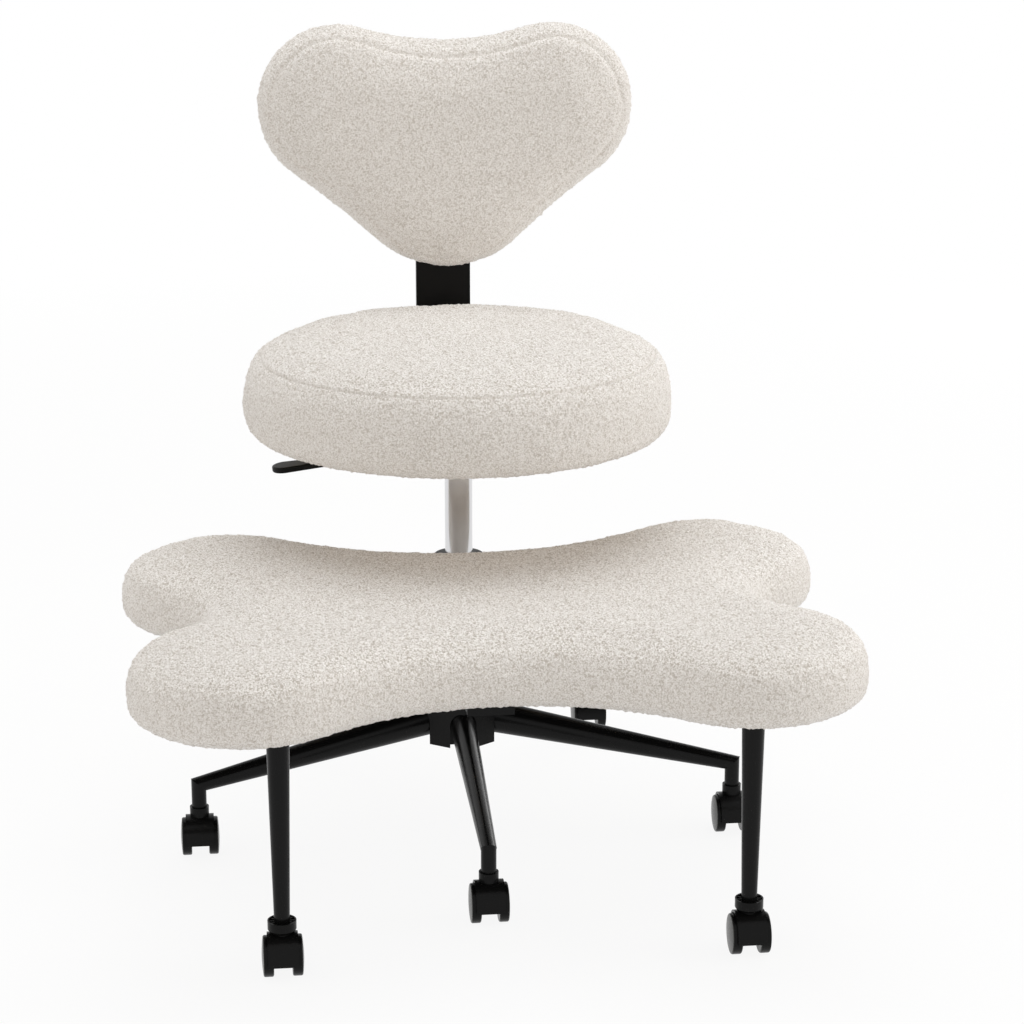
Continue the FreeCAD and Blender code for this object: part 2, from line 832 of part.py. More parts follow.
def back_board():
    front = bar_front - back_board_thickness
    board = Part.Face(heart_wire(-back_board_inset, front)).extrude(V(0, back_board_thickness, 0))
    depth = back_board_thickness - bolt_end_cover
    for x, z in back_bolt_places():
        board = board.cut(rearward(bolt_diameter / 2, bar_front - depth, bar_front, x, z))
    return board


def back_cushion():
    back = bar_front - seat_gap
    crown = back_depth - back_seam_depth
    crown_inset = back_crown_inset - back_seam_inset
    sections = [
        (0, -back_edge_inset),
        (back_edge_depth / 3, -back_edge_inset / 4),
        (back_edge_depth, 0),
        ((back_edge_depth + back_seam_depth) / 2, -back_seam_inset / 4),
        (back_seam_depth, -back_seam_inset),
        (back_seam_depth + crown / 2, -back_seam_inset - crown_inset / 5),
        (back_seam_depth + crown * 0.85, -back_seam_inset - crown_inset / 2),
        (back_depth, -back_crown_inset),
    ]
    wires = [heart_wire(offset, back - depth) for depth, offset in sections]
    cushion = Part.makeLoft(wires, True, True)
    pocket_depth = back_board_thickness + seat_gap
    pocket = Part.Face(heart_wire(seat_gap - back_board_inset, bar_front - pocket_depth))
    return cushion.cut(pocket.extrude(V(0, pocket_depth, 0)))


# Footrest: four-lobed board and cushion on a bracket that turns about the column
def rest_wire(offset, z):
    """Four-lobed outline at height z, moved outwards by offset."""
    def to_space(x, y):
        return V(rest_shift + x, y, z)

    rear = (rest_rear_lobe_offset, -rest_rear_lobe_distance)
    front = (rest_front_lobe_offset, -rest_front_lobe_distance)
    front_reach = math.sqrt((rest_front_lobe_radius + rest_front_waist_radius) ** 2 - front[0] ** 2)
    rear_reach = math.sqrt((rest_rear_lobe_radius + rest_rear_waist_radius) ** 2 - rear[0] ** 2)
    front_waist = (0.0, front[1] - front_reach)
    rear_waist = (0.0, rear[1] + rear_reach)
    notch = touching_centre(front, rest_front_lobe_radius, rear, rest_rear_lobe_radius, rest_notch_radius)
    turn = math.pi
    front_start = bearing_of(front, front_waist)
    front_end = bearing_of(front, notch)
    rear_start = bearing_of(rear, notch)
    rear_end = bearing_of(rear, rear_waist)
    notch_start = bearing_of(notch, front) % (2 * turn)
    notch_end = bearing_of(notch, rear) % (2 * turn)
    waist_end = bearing_of(front_waist, front)
    rear_waist_start = bearing_of(rear_waist, rear)
    front_radius = rest_front_lobe_radius + offset
    rear_radius = rest_rear_lobe_radius + offset
    notch_radius = rest_notch_radius - offset
    left_front = (-front[0], front[1])
    left_rear = (-rear[0], rear[1])
    left_notch = (-notch[0], notch[1])
    edges = arc_pieces(front_waist, rest_front_waist_radius - offset,
                       turn - waist_end, waist_end, 1, to_space)
    edges += arc_pieces(front, front_radius, front_start, front_end, 2, to_space)
    edges += arc_pieces(notch, notch_radius, notch_start, notch_end, 1, to_space)
    edges += arc_pieces(rear, rear_radius, rear_start, rear_end, 2, to_space)
    edges += arc_pieces(rear_waist, rest_rear_waist_radius - offset,
                        rear_waist_start, -turn - rear_waist_start, 1, to_space)
    edges += arc_pieces(left_rear, rear_radius, turn - rear_end, turn - rear_start, 2, to_space)
    edges += arc_pieces(left_notch, notch_radius, turn - notch_end, turn - notch_start, 1, to_space)
    edges += arc_pieces(left_front, front_radius, turn - front_end, turn - front_start, 2, to_space)
    return Part.Wire(edges)


def bracket_bolt_places():
    places = []
    for length, distance in ((bracket_rear_bar_length, bracket_rear_bar_distance),
                             (bracket_front_bar_length, bracket_front_bar_distance)):
        across = length / 2 - bracket_bolt_inset
        places += [(-across, -distance), (across, -distance)]
    return places


def leg_places():
    return [(leg_shift - leg_offset, -leg_distance), (leg_shift + leg_offset, -leg_distance)]


def flange_screw_places():
    """Screw places of one leg flange, about the leg's own axis."""
    radius = leg_screw_circle / 2
    angles = [math.radians(90 + index * 360 / leg_screw_count) for index in range(leg_screw_count)]
    return [(radius * math.cos(angle), radius * math.sin(angle)) for angle in angles]


def leg_screw_places():
    return [(x + dx, y + dy) for x, y in leg_places() for dx, dy in flange_screw_places()]


def footrest_board():
    board = Part.Face(rest_wire(-rest_board_inset, rest_underside)).extrude(V(0, 0, rest_board_thickness))
    depth = rest_underside + rest_board_thickness - bolt_end_cover
    for x, y in bracket_bolt_places():
        board = board.cut(upright(bolt_diameter / 2, rest_underside, depth, x, y))
    for x, y in leg_screw_places():
        board = board.cut(upright(screw_diameter / 2, rest_underside, depth, x, y))
    return board


def footrest_cushion():
    crown = rest_thickness - rest_seam_height
    crown_inset = rest_crown_inset - rest_seam_inset
    sections = [
        (0, -rest_edge_round),
        (rest_edge_round * 0.3, -rest_edge_round * 0.3),
        (rest_edge_round, 0),
        ((rest_edge_round + rest_seam_height) / 2, -rest_seam_inset / 5),
        (rest_seam_height, -rest_seam_inset),
        (rest_seam_height + crown / 2, -rest_seam_inset - crown_inset / 5),
        (rest_seam_height + crown * 0.85, -rest_seam_inset - crown_inset / 2),
        (rest_thickness, -rest_crown_inset),
    ]
    wires = [rest_wire(offset, rest_underside + height) for height, offset in sections]
    cushion = Part.makeLoft(wires, True, True)
    pocket = Part.Face(rest_wire(seat_gap - rest_board_inset, rest_underside))
    return cushion.cut(pocket.extrude(V(0, 0, rest_board_thickness + seat_gap)))


def footrest_bracket():
    sleeve_bottom = collar_bottom + collar_bush_flange
    sleeve_top = collar_top - collar_bush_flange
    arm_bottom = bracket_arm_top - bracket_arm_height
    arm_end = -bracket_front_bar_distance - bracket_bar_width / 2
    half = bracket_arm_width / 2
    wall = bracket_arm_wall
    arm = block(V(-half, arm_end, arm_bottom), V(half, 0, bracket_arm_top))
    arm = arm.cut(block(V(-half + wall, arm_end + wall, arm_bottom + wall),
                        V(half - wall, 0, bracket_arm_top - wall)))
    arm = arm.cut(upright(collar_radius, 0, rest_underside))
    bracket = arm.fuse(upright(collar_radius, sleeve_bottom, sleeve_top))
    for length, distance in ((bracket_rear_bar_length, bracket_rear_bar_distance),
                             (bracket_front_bar_length, bracket_front_bar_distance)):
        bar = rounded_plate(length, bracket_bar_width, bracket_arm_top, rest_underside,
                            bracket_bar_round, 0, -distance)
        bracket = bracket.fuse(bar)
    bracket = bracket.cut(upright(collar_bore_radius, 0, rest_underside)).removeSplitter()
    for x, y in bracket_bolt_places():
        bracket = bracket.cut(upright(bolt_diameter / 2 + hole_gap, bracket_arm_top, rest_underside, x, y))
    return bracket


def collar_bush(flange_face, inward):
    bore = column_radius + running_clearance
    shoulder = flange_face + inward * collar_bush_flange
    end = shoulder + inward * collar_bush_length
    return turned([
        (bore, flange_face),
        (collar_radius, flange_face),
        (collar_radius, shoulder),
        (collar_bore_radius, shoulder),
        (collar_bore_radius, end),
        (bore, end),
    ])


def thrust_washer():
    ring = upright(collar_radius, hub_top, collar_bottom)
    return ring.cut(upright(column_radius + seat_gap, hub_top, collar_bottom))


def footrest_leg():
    flange_bottom = rest_underside - leg_flange_thickness
    length = flange_bottom - leg_foot
    foot_radius = leg_foot_diameter / 2
    top_radius = leg_top_diameter / 2
    outside = Part.makeCone(foot_radius, top_radius, length, V(0, 0, leg_foot))
    inside = Part.makeCone(foot_radius - leg_wall, top_radius - leg_wall, length, V(0, 0, leg_foot))
    leg = outside.fuse(upright(leg_flange_diameter / 2, flange_bottom, rest_underside)).cut(inside)
    for x, y in flange_screw_places():
        leg = leg.cut(upright(screw_diameter / 2 + hole_gap, flange_bottom, rest_underside, x, y))
    return leg


def leg_socket():
    rim = cup_diameter / 2
    foot = swivel_collar_diameter / 2
    floor = caster_height + cup_floor
    spigot = leg_foot_diameter / 2 - leg_wall
    pin = pin_diameter / 2
    cup = turned([
        (pin, caster_height),
        (foot, caster_height),
        (rim, caster_height + cup_floor / 2),
        (rim, caster_height + cup_height),
        (rim - cup_wall, caster_height + cup_height),
        (rim - cup_wall, floor),
        (spigot, floor),
        (spigot, floor + cup_spigot_length),
        (pin, floor + cup_spigot_length),
    ])
    inner = leg_foot_diameter / 2 + seat_gap * 2
    half = cup_rib_thickness / 2
    rib = block(V(inner, -half, floor - cup_floor / 4), V(rim - cup_wall / 2, half, floor + cup_rib_height))
    for index in range(cup_rib_count):
        cup = cup.fuse(spun(rib, index * 360 / cup_rib_count))
    return cup.removeSplitter()


# Bolts, grouped by the body that they belong to
def bolt_up(x, y, face, end):
    head = upright(bolt_head_diameter / 2, face - bolt_head_height, face, x, y)
    return head.fuse(upright(bolt_diameter / 2, face - bolt_head_height, end, x, y)).removeSplitter()


def screw_up(x, y, face, end):
    head = upright(screw_head_diameter / 2, face - screw_head_height, face, x, y)
    return head.fuse(upright(screw_diameter / 2, face - screw_head_height, end, x, y)).removeSplitter()


def seat_bolts():
    end = seat_underside + seat_board_thickness - bolt_end_cover
    bolts = [bolt_up(x, y, plate_bottom, end) for x, y in plate_bolt_places()]
    bolts += [bolt_up(x, y, seat_underside - bar_thickness, end) for x, y in bar_bolt_places()]
    rear = bar_front + bar_thickness
    back_end = bar_front - back_board_thickness + bolt_end_cover
    for x, z in back_bolt_places():
        head = rearward(bolt_head_diameter / 2, rear, rear + bolt_head_height, x, z)
        shank = rearward(bolt_diameter / 2, back_end, rear + bolt_head_height, x, z)
        bolts.append(head.fuse(shank).removeSplitter())
    return Part.makeCompound(bolts)


def footrest_bolts():
    end = rest_underside + rest_board_thickness - bolt_end_cover
    bolts = [bolt_up(x, y, bracket_arm_top, end) for x, y in bracket_bolt_places()]
    flange = rest_underside - leg_flange_thickness
    bolts += [screw_up(x, y, flange, end) for x, y in leg_screw_places()]
    return Part.makeCompound(bolts)


def base_places():
    places = []
    for index in range(arm_count):
        angle = math.radians(first_arm + index * 360 / arm_count)
        places.append((base_radius * math.cos(angle), base_radius * math.sin(angle)))
    return places


def group(shape, places):
    return Part.makeCompound([placed(shape, x, y) for x, y in places])


def all_nodes():
    nodes = {"base_hub": base_hub()}
    arm = base_arm()
    for index in range(arm_count):
        nodes["base_arm_%d" % (index + 1)] = spun(arm, first_arm + index * 360 / arm_count)
    nodes["arm_sockets"] = group(stem_socket(), base_places())
    nodes["caster_pins"] = group(caster_pin(), base_places())
    nodes["column_tube"] = column_tube()
    nodes["column_bush"] = column_bush()
    nodes["thrust_bearing"] = thrust_bearing()
    nodes["piston_rod"] = piston_rod()
    nodes["column_clip"] = column_clip()
    nodes["gas_cylinder"] = gas_cylinder()
    nodes["release_button"] = release_button()
    nodes["seat_mechanism"] = seat_mechanism()
    nodes["height_lever"] = height_lever()
    nodes["seat_board"] = seat_board()
    nodes["seat_cushion"] = seat_cushion()
    nodes["seat_bolts"] = seat_bolts()
    nodes["back_bar"] = back_bar()
    nodes["back_board"] = back_board()
    nodes["back_cushion"] = back_cushion()
    nodes["thrust_washer"] = thrust_washer()
    nodes["footrest_bracket"] = footrest_bracket()
    nodes["collar_bushes"] = Part.makeCompound([collar_bush(collar_bottom, 1), collar_bush(collar_top, -1)])
    nodes["footrest_board"] = footrest_board()
    nodes["footrest_cushion"] = footrest_cushion()
    nodes["footrest_legs"] = group(footrest_leg(), leg_places())
    nodes["leg_sockets"] = group(leg_socket(), leg_places())
    nodes["leg_caster_pins"] = group(caster_pin(), leg_places())
    nodes["footrest_bolts"] = footrest_bolts()
    hood = caster_hood()
    axle = caster_axle()
    wheel_left = caster_wheel(-1)
    wheel_right = caster_wheel(1)
    for index, (x, y) in enumerate(base_places() + leg_places()):
        name = "caster_%d_" % (index + 1)
        nodes[name + "hood"] = placed(hood, x, y)
        nodes[name + "axle"] = placed(axle, x, y)
        nodes[name + "wheel_left"] = placed(wheel_left, x, y)
        nodes[name + "wheel_right"] = placed(wheel_right, x, y)
    return nodes


os.makedirs("parts", exist_ok=True)
for node_name, node_shape in all_nodes().items():
    if not node_shape.isValid() or node_shape.Volume <= 0:
        raise ValueError("bad solid: " + node_name)
    node_shape.exportStep("parts/%s.step" % node_name)
    print("%-24s solids %2d  volume %11.1f" % (node_name, len(node_shape.Solids), node_shape.Volume))
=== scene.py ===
import math
import bmesh
import bpy
from mathutils import Matrix, Vector, noise


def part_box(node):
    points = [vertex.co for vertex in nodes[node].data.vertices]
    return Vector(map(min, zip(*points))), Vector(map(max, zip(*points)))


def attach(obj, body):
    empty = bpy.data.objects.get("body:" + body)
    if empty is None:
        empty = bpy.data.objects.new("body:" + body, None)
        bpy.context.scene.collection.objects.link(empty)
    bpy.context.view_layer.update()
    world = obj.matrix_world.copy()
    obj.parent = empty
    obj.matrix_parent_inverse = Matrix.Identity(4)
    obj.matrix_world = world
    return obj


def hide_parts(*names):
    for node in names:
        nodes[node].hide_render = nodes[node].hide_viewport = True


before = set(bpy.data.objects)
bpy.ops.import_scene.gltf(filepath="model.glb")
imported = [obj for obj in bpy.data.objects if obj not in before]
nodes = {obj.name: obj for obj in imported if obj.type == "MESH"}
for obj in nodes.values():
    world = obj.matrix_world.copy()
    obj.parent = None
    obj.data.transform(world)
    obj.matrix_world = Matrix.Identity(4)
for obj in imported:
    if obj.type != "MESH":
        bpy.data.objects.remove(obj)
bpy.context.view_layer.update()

scene = bpy.context.scene
scene.view_settings.view_transform = "Standard"


# Five-arm base: tapered oval steel tubes, each mitred and welded to a short upright stem tube and set
# in a slot of the five-sided pressed hub. The weldment and the outer column tube wedged in it are
# sprayed with gloss black powder coat.
def plain_finish(name, colour, roughness, metallic=0.0, coat=0.0, gloss=0.5):
    """A material of one colour, with its shader returned for what a finish adds to it."""
    material = bpy.data.materials.new(name)
    material.use_nodes = True
    shader = material.node_tree.nodes["Principled BSDF"]
    shader.inputs["Base Color"].default_value = (*colour, 1.0)
    shader.inputs["Roughness"].default_value = roughness
    shader.inputs["Metallic"].default_value = metallic
    shader.inputs["Specular IOR Level"].default_value = gloss
    shader.inputs["Coat Weight"].default_value = coat
    shader.inputs["Coat Roughness"].default_value = 0.17
    return material, shader


def grain(material, shader, grains_per_metre, depth, strength, handled=0.05):
    """Fine unevenness of a sprayed or moulded surface, in metres of depth, with gloss that handling dulls."""
    tree = material.node_tree
    place = tree.nodes.new("ShaderNodeTexCoord")
    uneven = tree.nodes.new("ShaderNodeTexNoise")
    uneven.inputs["Scale"].default_value = grains_per_metre
    uneven.inputs["Detail"].default_value = 2.0
    bump = tree.nodes.new("ShaderNodeBump")
    bump.inputs["Distance"].default_value = depth
    bump.inputs["Strength"].default_value = strength
    dulled = tree.nodes.new("ShaderNodeTexNoise")
    dulled.inputs["Scale"].default_value = 24.0
    dulled.inputs["Detail"].default_value = 3.0
    gloss = tree.nodes.new("ShaderNodeMapRange")
    gloss.inputs["From Min"].default_value = 0.35
    gloss.inputs["From Max"].default_value = 0.65
    gloss.inputs["To Min"].default_value = shader.inputs["Roughness"].default_value
    gloss.inputs["To Max"].default_value = shader.inputs["Roughness"].default_value + handled
    tree.links.new(place.outputs["Object"], uneven.inputs["Vector"])
    tree.links.new(uneven.outputs["Fac"], bump.inputs["Height"])
    tree.links.new(bump.outputs["Normal"], shader.inputs["Normal"])
    tree.links.new(place.outputs["Object"], dulled.inputs["Vector"])
    tree.links.new(dulled.outputs["Fac"], gloss.inputs["Value"])
    tree.links.new(gloss.outputs["Result"], shader.inputs["Roughness"])


def give_finish(material, *names):
    for name in names:
        for material_slot in nodes[name].material_slots:
            material_slot.material = material


black_gloss, black_gloss_shader = plain_finish("gloss_black_powder_coat", (0.004, 0.004, 0.004), 0.24,
                                               coat=0.05, gloss=0.12)
grain(black_gloss, black_gloss_shader, 700.0, 0.0002, 0.05)
arm_count = 5
give_finish(black_gloss, "base_hub", "column_tube", *["base_arm_%d" % (i + 1) for i in range(arm_count)])


# Casters: seven twin-wheel castors moulded in gloss black nylon. Each hood swivels on a plated pin that
# is pressed into a plastic socket, and two domed wheels turn on a plated steel axle.
caster_count = 7
nylon, nylon_shader = plain_finish("gloss_black_nylon", (0.005, 0.005, 0.005), 0.24, gloss=0.12)
grain(nylon, nylon_shader, 900.0, 0.0002, 0.05)
plated, plated_shader = plain_finish("zinc_plated_steel", (0.55, 0.55, 0.56), 0.34, metallic=1.0)
grain(plated, plated_shader, 1500.0, 0.0001, 0.10)
satin_nylon, satin_nylon_shader = plain_finish("satin_black_nylon", (0.006, 0.006, 0.006), 0.34, gloss=0.12)
grain(satin_nylon, satin_nylon_shader, 900.0, 0.0002, 0.10)
# Painted light: the flat side faces of each wheel are coloured grey for the light they catch from the side,
# while the treads stay black.
wheel_nylon, wheel_nylon_shader = plain_finish("black_wheel_with_painted_lit_face", (0.005, 0.005, 0.005), 0.24,
                                               gloss=0.12)
grain(wheel_nylon, wheel_nylon_shader, 900.0, 0.0002, 0.05)
wheel_tree = wheel_nylon.node_tree
wheel_place = wheel_tree.nodes.new("ShaderNodeTexCoord")
wheel_sides = wheel_tree.nodes.new("ShaderNodeSeparateXYZ")
wheel_flat = wheel_tree.nodes.new("ShaderNodeMath")
wheel_flat.operation = "ABSOLUTE"
# Painted light: grey on the faces that point sideways, black elsewhere.
wheel_painted_light_tones = wheel_tree.nodes.new("ShaderNodeValToRGB")
wheel_painted_light_tones.color_ramp.elements[0].position = 0.55
wheel_painted_light_tones.color_ramp.elements[0].color = (0.005, 0.005, 0.005, 1.0)
wheel_painted_light_tones.color_ramp.elements[1].position = 0.90
wheel_painted_light_tones.color_ramp.elements[1].color = (0.060, 0.060, 0.057, 1.0)
wheel_tree.links.new(wheel_place.outputs["Normal"], wheel_sides.inputs["Vector"])
wheel_tree.links.new(wheel_sides.outputs["X"], wheel_flat.inputs[0])
wheel_tree.links.new(wheel_flat.outputs["Value"], wheel_painted_light_tones.inputs["Fac"])
wheel_tree.links.new(wheel_painted_light_tones.outputs["Color"], wheel_nylon_shader.inputs["Base Color"])
for index in range(caster_count):
    caster = "caster_%d_" % (index + 1)
    give_finish(nylon, caster + "hood")
    give_finish(wheel_nylon, caster + "wheel_left", caster + "wheel_right")
    give_finish(plated, caster + "axle")
give_finish(plated, "caster_pins", "leg_caster_pins")
give_finish(satin_nylon, "arm_sockets")


# Gas column: a bright chromed cylinder that slides in a black nylon bush and turns on a thrust bearing.
# The piston rod, its clip and the release button are plated steel.
chrome, chrome_shader = plain_finish("polished_chrome", (0.70, 0.70, 0.71), 0.14, metallic=1.0)
grain(chrome, chrome_shader, 1500.0, 0.00005, 0.05)
give_finish(chrome, "gas_cylinder")
give_finish(satin_nylon, "column_bush")
give_finish(plated, "thrust_bearing", "piston_rod", "column_clip", "release_button")


# Footrest frame: a welded bracket whose sleeve turns about the column on two nylon bushes, and two
# tapered tube legs with round flanges. It is powder coated black, with plated bolts and screws.
give_finish(black_gloss, "footrest_bracket", "footrest_legs")
give_finish(satin_nylon, "collar_bushes", "thrust_washer")
give_finish(plated, "footrest_bolts")


# Leg cups: a flared nylon cup is pressed into the foot of each leg. Its skirt goes down round the swivel
# collar of the caster, and thin ribs stand in the cup round the leg.
cup_outline = [(4.1, 50.0), (10.0, 50.0), (10.0, 41.9), (11.6, 41.9), (13.2, 44.4), (13.2, 52.6),
               (11.9, 52.6), (11.9, 51.0), (7.3, 51.0), (7.3, 54.2), (4.1, 54.2)]
cup_steps = 48
cup_crease = math.radians(25.0)
cup_rib_count = 12
cup_rib_sides = (4.4, 0.9, 1.6)
cup_rib_place = (0.0097, 0.0, 0.0512)
cup_low, cup_high = [Vector(corner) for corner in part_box("leg_sockets")]
cup_middle = (cup_low.y + cup_high.y) / 2.0
cup_half = (cup_high.y - cup_low.y) / 2.0
cup_shape = bmesh.new()
for cup_x in (cup_low.x + cup_half, cup_high.x - cup_half):
    axis_foot = Vector((cup_x, cup_middle, 0.0))
    corners = [cup_shape.verts.new(axis_foot + Vector((r, 0.0, z)) / 1000.0) for r, z in cup_outline]
    outline = [cup_shape.edges.new((one, other)) for one, other in zip(corners, corners[1:] + corners[:1])]
    bmesh.ops.spin(cup_shape, geom=corners + outline, cent=axis_foot, axis=(0.0, 0.0, 1.0),
                   angle=math.tau, steps=cup_steps, use_merge=True)
    for turn in range(cup_rib_count):
        rib = bmesh.ops.create_cube(cup_shape, size=0.001)["verts"]
        bmesh.ops.scale(cup_shape, verts=rib, vec=cup_rib_sides)
        bmesh.ops.translate(cup_shape, verts=rib, vec=cup_rib_place)
        bmesh.ops.rotate(cup_shape, verts=rib, cent=(0.0, 0.0, 0.0),
                         matrix=Matrix.Rotation(math.tau * turn / cup_rib_count, 3, "Z"))
        bmesh.ops.translate(cup_shape, verts=rib, vec=axis_foot)
bmesh.ops.remove_doubles(cup_shape, verts=cup_shape.verts, dist=0.000001)
bmesh.ops.recalc_face_normals(cup_shape, faces=cup_shape.faces)
for face in cup_shape.faces:
    face.smooth = True
for edge in cup_shape.edges:
    edge.smooth = edge.calc_face_angle(0.0) < cup_crease
cup_mesh = bpy.data.meshes.new("leg_cups")
cup_shape.to_mesh(cup_mesh)
cup_shape.free()
leg_cups = bpy.data.objects.new("leg_cups", cup_mesh)
scene.collection.objects.link(leg_cups)
leg_cups.data.materials.append(nylon)
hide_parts("leg_sockets")
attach(leg_cups, "footrest")


# Footrest board: a plywood panel of the cushion's outline that the bracket and the legs are bolted to.
# The plies lie flat, so its faces show long grain. Its colour is painted shade: the whole board is made near
# black for the shade it sits in under the pad.
def plywood_panel(name, dark, light):
    material, shader = plain_finish(name, light, 0.62)
    tree = material.node_tree
    place = tree.nodes.new("ShaderNodeTexCoord")
    stretch = tree.nodes.new("ShaderNodeMapping")
    stretch.inputs["Scale"].default_value = (6.0, 90.0, 90.0)
    long_grain = tree.nodes.new("ShaderNodeTexNoise")
    long_grain.inputs["Scale"].default_value = 1.0
    long_grain.inputs["Detail"].default_value = 5.0
    colours = tree.nodes.new("ShaderNodeValToRGB")
    colours.color_ramp.elements[0].color = (*dark, 1.0)
    colours.color_ramp.elements[1].color = (*light, 1.0)
    tree.links.new(place.outputs["Object"], stretch.inputs["Vector"])
    tree.links.new(stretch.outputs["Vector"], long_grain.inputs["Vector"])
    tree.links.new(long_grain.outputs["Fac"], colours.inputs["Fac"])
    tree.links.new(colours.outputs["Color"], shader.inputs["Base Color"])
    return material


# Painted shade: near-black plywood colours that stand in for the shade under the pad.
plywood_in_painted_shade = plywood_panel("plywood_in_painted_shade", (0.020, 0.014, 0.010), (0.050, 0.036, 0.026))
give_finish(plywood_in_painted_shade, "footrest_board")


# Footrest cushion: a four-lobed foam pad boxed in cream boucle, a loop yarn cloth, with a sewn seam round
# the edge of its top. The cover is drawn under the board and stapled there.
def boucle_cloth():
    """Cream loop-pile cloth: pale curls over hollows darkened with painted shade, painted strongest where the
    cloth faces up.
    """
    material, shader = plain_finish("cream_boucle", (0.80, 0.76, 0.71), 0.95)
    tree = material.node_tree
    place = tree.nodes.new("ShaderNodeTexCoord")
    wander = tree.nodes.new("ShaderNodeTexNoise")
    wander.inputs["Scale"].default_value = 260.0
    wander.inputs["Detail"].default_value = 2.0
    bend = tree.nodes.new("ShaderNodeVectorMath")
    bend.operation = "MULTIPLY_ADD"
    bend.inputs[1].default_value = (0.006, 0.006, 0.006)
    curls = tree.nodes.new("ShaderNodeTexVoronoi")
    curls.inputs["Scale"].default_value = 620.0
    fine = tree.nodes.new("ShaderNodeTexNoise")
    fine.inputs["Scale"].default_value = 900.0
    fine.inputs["Detail"].default_value = 3.0
    height = tree.nodes.new("ShaderNodeMath")
    height.operation = "SUBTRACT"
    loft = tree.nodes.new("ShaderNodeMapRange")
    loft.inputs["From Min"].default_value = -0.32
    loft.inputs["From Max"].default_value = 0.22
    loft.inputs["To Min"].default_value = -0.5
    loft.inputs["To Max"].default_value = 0.5
    facing = tree.nodes.new("ShaderNodeNewGeometry")
    upward = tree.nodes.new("ShaderNodeSeparateXYZ")
    # Painted shade: the hollows between curls are coloured darker, and more so on faces that point up, where
    # light from above would pick out the loops.
    upward_painted_shade = tree.nodes.new("ShaderNodeMapRange")
    upward_painted_shade.inputs["From Min"].default_value = 0.3
    upward_painted_shade.inputs["From Max"].default_value = 0.9
    upward_painted_shade.inputs["To Min"].default_value = 0.58
    upward_painted_shade.inputs["To Max"].default_value = 1.0
    shade = tree.nodes.new("ShaderNodeMath")
    shade.operation = "MULTIPLY_ADD"
    shade.inputs[2].default_value = 0.5
    # Painted shade: the dark end of the ramp is the shade in the hollows, the pale end the lit yarn on the
    # curls.
    colours = tree.nodes.new("ShaderNodeValToRGB")
    colours.color_ramp.elements[0].color = (0.47, 0.415, 0.355, 1.0)
    colours.color_ramp.elements[1].color = (0.98, 0.955, 0.925, 1.0)
    bump = tree.nodes.new("ShaderNodeBump")
    bump.inputs["Distance"].default_value = 0.0014
    bump.inputs["Strength"].default_value = 0.30
    tree.links.new(place.outputs["Object"], wander.inputs["Vector"])
    tree.links.new(wander.outputs["Color"], bend.inputs[0])
    tree.links.new(place.outputs["Object"], bend.inputs[2])
    tree.links.new(bend.outputs["Vector"], curls.inputs["Vector"])
    tree.links.new(place.outputs["Object"], fine.inputs["Vector"])
    tree.links.new(fine.outputs["Fac"], height.inputs[0])
    tree.links.new(curls.outputs["Distance"], height.inputs[1])
    tree.links.new(height.outputs["Value"], loft.inputs["Value"])
    tree.links.new(facing.outputs["True Normal"], upward.inputs["Vector"])
    tree.links.new(upward.outputs["Z"], upward_painted_shade.inputs["Value"])
    tree.links.new(loft.outputs["Result"], shade.inputs[0])
    tree.links.new(upward_painted_shade.outputs["Result"], shade.inputs[1])
    tree.links.new(shade.outputs["Value"], colours.inputs["Fac"])
    tree.links.new(height.outputs["Value"], bump.inputs["Height"])
    tree.links.new(colours.outputs["Color"], shader.inputs["Base Color"])
    tree.links.new(bump.outputs["Normal"], shader.inputs["Normal"])
    shader.inputs["Specular IOR Level"].default_value = 0.15
    shader.inputs["Sheen Weight"].default_value = 0.25
    shader.inputs["Sheen Roughness"].default_value = 0.6
    return material


def foam_shape(name, node, grid):
    """A copy of a cushion's solid as an even mesh, fit to be stuffed."""
    cushion = bpy.data.objects.new(name, nodes[node].data.copy())
    scene.collection.objects.link(cushion)
    shape = bmesh.new()
    shape.from_mesh(cushion.data)
    bmesh.ops.remove_doubles(shape, verts=shape.verts, dist=0.00001)
    shape.to_mesh(cushion.data)
    shape.free()
    even = cushion.modifiers.new("even", "REMESH")
    even.mode = "VOXEL"
    even.voxel_size = grid
    even.use_smooth_shade = True
    keep_modified(cushion)
    return cushion


def keep_modified(cushion):
    """Makes the mesh what the modifiers show, and takes the modifiers off."""
    graph = bpy.context.evaluated_depsgraph_get()
    old = cushion.data
    cushion.data = bpy.data.meshes.new_from_object(cushion.evaluated_get(graph))
    cushion.data.name = cushion.name
    cushion.modifiers.clear()
    bpy.data.meshes.remove(old)


def stuff(cushion, held, cap, pressure=4.0, last_frame=20):
    """Blows the cover up as stuffing does. held says which places are stapled; none moves beyond cap."""
    start = [vertex.co.copy() for vertex in cushion.data.vertices]
    stapled = cushion.vertex_groups.new(name="stapled")
    stapled.add([i for i, co in enumerate(start) if held(co)], 1.0, "REPLACE")
    cloth = cushion.modifiers.new("cover", "CLOTH")
    cloth.settings.use_pressure = True
    cloth.settings.uniform_pressure_force = pressure
    cloth.settings.effector_weights.gravity = 0.0
    cloth.settings.vertex_group_mass = "stapled"
    cloth.point_cache.frame_end = last_frame
    for frame_number in range(1, last_frame + 1):
        scene.frame_set(frame_number)
    keep_modified(cushion)
    cushion.vertex_groups.clear()
    for vertex, co in zip(cushion.data.vertices, start):
        move = vertex.co - co
        if move.length > cap:
            vertex.co = co + move.normalized() * cap
    scene.frame_set(1)


